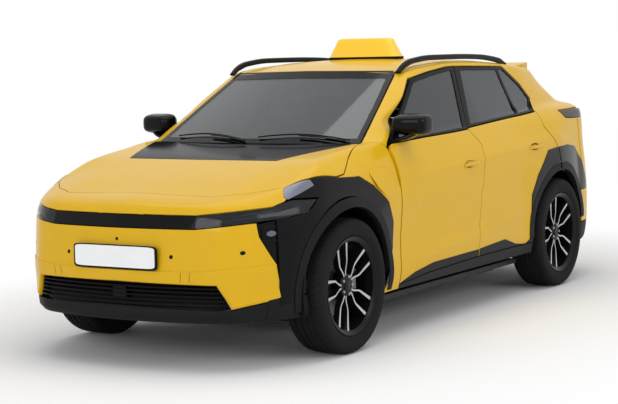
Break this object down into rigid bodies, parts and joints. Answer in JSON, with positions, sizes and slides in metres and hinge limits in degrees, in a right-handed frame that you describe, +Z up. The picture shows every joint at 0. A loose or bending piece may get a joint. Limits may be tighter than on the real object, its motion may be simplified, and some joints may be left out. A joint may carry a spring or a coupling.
{
  "type": "taxi cab",
  "caption": "Electric crossover taxi with opening doors, bonnet, tailgate and charge flap, steered front wheels, glazed cabin with seats, and a blank lit roof sign.",
  "frame": {"origin": "on the ground, midway between the axles and midway between the sides", "axes": "+X to the car's left, +Y to the rear, +Z up"},
  "size_m": [2.02, 4.6898, 1.725],
  "materials": {
    "cast_alloy": "cast",
    "dark_steel": "satin paint",
    "gloss_black": "gloss",
    "lamp_lens": "gloss",
    "plate_white": "satin",
    "seat_cloth": "woven",
    "sign_yellow": "satin",
    "tail_lens": "gloss",
    "textured_black": "grained matt",
    "tinted_glass": "clear tinted",
    "tyre_rubber": "matt",
    "wheel_alloy": "gloss black with machined faces",
    "yellow_paint": "gloss"
  },
  "bodies": {
    "body": {"arch_lips": "textured_black", "battery_pack": "cast_alloy", "body_side_left": "yellow_paint", "body_side_right": "yellow_paint", "claddings": "gloss_black", "cowl": "gloss_black", "dashboard": "textured_black", "drive_units": "cast_alloy", "fenders": "yellow_paint", "floor_pan": "dark_steel", "front_bumper": "yellow_paint", "front_plate": "plate_white", "front_seats": "seat_cloth", "front_suspension": "dark_steel", "headlamps": "lamp_lens", "inner_mirror": "textured_black", "light_bar": "gloss_black", "lower_grille": "textured_black", "lower_skirts": "textured_black", "nose_panel": "yellow_paint", "rear_bumper": "yellow_paint", "rear_seat": "seat_cloth", "rear_suspension": "dark_steel", "roof_panel": "yellow_paint", "roof_rails": "gloss_black", "sign_base": "textured_black", "sill_trims": "textured_black", "steering_wheel": "textured_black", "tail_lamps": "tail_lens", "taxi_sign": "sign_yellow", "wheel_housings": "textured_black", "windscreen": "tinted_glass"},
    "door_front_left_leaf": {"door_front_left": "yellow_paint", "glass_front_left": "tinted_glass", "mirror_left": "gloss_black"},
    "door_rear_left_leaf": {"door_rear_left": "yellow_paint", "glass_rear_left": "tinted_glass"},
    "steering_left": {"knuckle_front_left": "dark_steel"},
    "wheel_front_left": {"tyre_front_left": "tyre_rubber", "rim_front_left": "wheel_alloy"},
    "wheel_rear_left": {"tyre_rear_left": "tyre_rubber", "rim_rear_left": "wheel_alloy"},
    "door_front_right_leaf": {"door_front_right": "yellow_paint", "glass_front_right": "tinted_glass", "mirror_right": "gloss_black"},
    "door_rear_right_leaf": {"door_rear_right": "yellow_paint", "glass_rear_right": "tinted_glass"},
    "steering_right": {"knuckle_front_right": "dark_steel"},
    "wheel_front_right": {"tyre_front_right": "tyre_rubber", "rim_front_right": "wheel_alloy"},
    "wheel_rear_right": {"tyre_rear_right": "tyre_rubber", "rim_rear_right": "wheel_alloy"},
    "tailgate_leaf": {"tailgate": "yellow_paint", "tailgate_lamp": "tail_lens", "tailgate_glass": "tinted_glass", "rear_plate": "plate_white"},
    "bonnet_leaf": {"bonnet": "yellow_paint", "bonnet_strip": "gloss_black"},
    "charge_door": {"charge_flap": "yellow_paint"}
  },
  "joints": [
    {"name": "front_door_left", "type": "hinge", "parent": "body", "child": "door_front_left_leaf", "pos_m": [0.908, -0.871, 0.75], "axis": [0, 0, -1], "range_deg": [0, 68]},
    {"name": "rear_door_left", "type": "hinge", "parent": "body", "child": "door_rear_left_leaf", "pos_m": [0.908, 0.172, 0.75], "axis": [0, 0, -1], "range_deg": [0, 70]},
    {"name": "steer_left", "type": "hinge", "parent": "body", "child": "steering_left", "pos_m": [0.73, -1.425, 0.3715], "axis": [0, 0, 1], "range_deg": [-35, 35]},
    {"name": "roll_front_left", "type": "hinge", "parent": "steering_left", "child": "wheel_front_left", "pos_m": [0.8, -1.425, 0.3715], "axis": [1, 0, 0], "continuous": true},
    {"name": "roll_rear_left", "type": "hinge", "parent": "body", "child": "wheel_rear_left", "pos_m": [0.8, 1.425, 0.3715], "axis": [1, 0, 0], "continuous": true},
    {"name": "front_door_right", "type": "hinge", "parent": "body", "child": "door_front_right_leaf", "pos_m": [-0.908, -0.871, 0.75], "axis": [0, 0, 1], "range_deg": [0, 68]},
    {"name": "rear_door_right", "type": "hinge", "parent": "body", "child": "door_rear_right_leaf", "pos_m": [-0.908, 0.172, 0.75], "axis": [0, 0, 1], "range_deg": [0, 70]},
    {"name": "steer_right", "type": "hinge", "parent": "body", "child": "steering_right", "pos_m": [-0.73, -1.425, 0.3715], "axis": [0, 0, 1], "range_deg": [-35, 35]},
    {"name": "roll_front_right", "type": "hinge", "parent": "steering_right", "child": "wheel_front_right", "pos_m": [-0.8, -1.425, 0.3715], "axis": [1, 0, 0], "continuous": true},
    {"name": "roll_rear_right", "type": "hinge", "parent": "body", "child": "wheel_rear_right", "pos_m": [-0.8, 1.425, 0.3715], "axis": [1, 0, 0], "continuous": true},
    {"name": "tailgate_hinge", "type": "hinge", "parent": "body", "child": "tailgate_leaf", "pos_m": [0, 1.468, 1.59], "axis": [1, 0, 0], "range_deg": [0, 75]},
    {"name": "bonnet_hinge", "type": "hinge", "parent": "body", "child": "bonnet_leaf", "pos_m": [0, -0.995, 1.13], "axis": [-1, 0, 0], "range_deg": [0, 50]},
    {"name": "charge_flap_hinge", "type": "hinge", "parent": "body", "child": "charge_door", "pos_m": [0.932, -1.158, 0.89], "axis": [0, 0, -1], "range_deg": [0, 100]}
  ],
  "couplings": [
    {"joint": "steer_right", "follows": "steer_left", "ratio": 1}
  ]
}
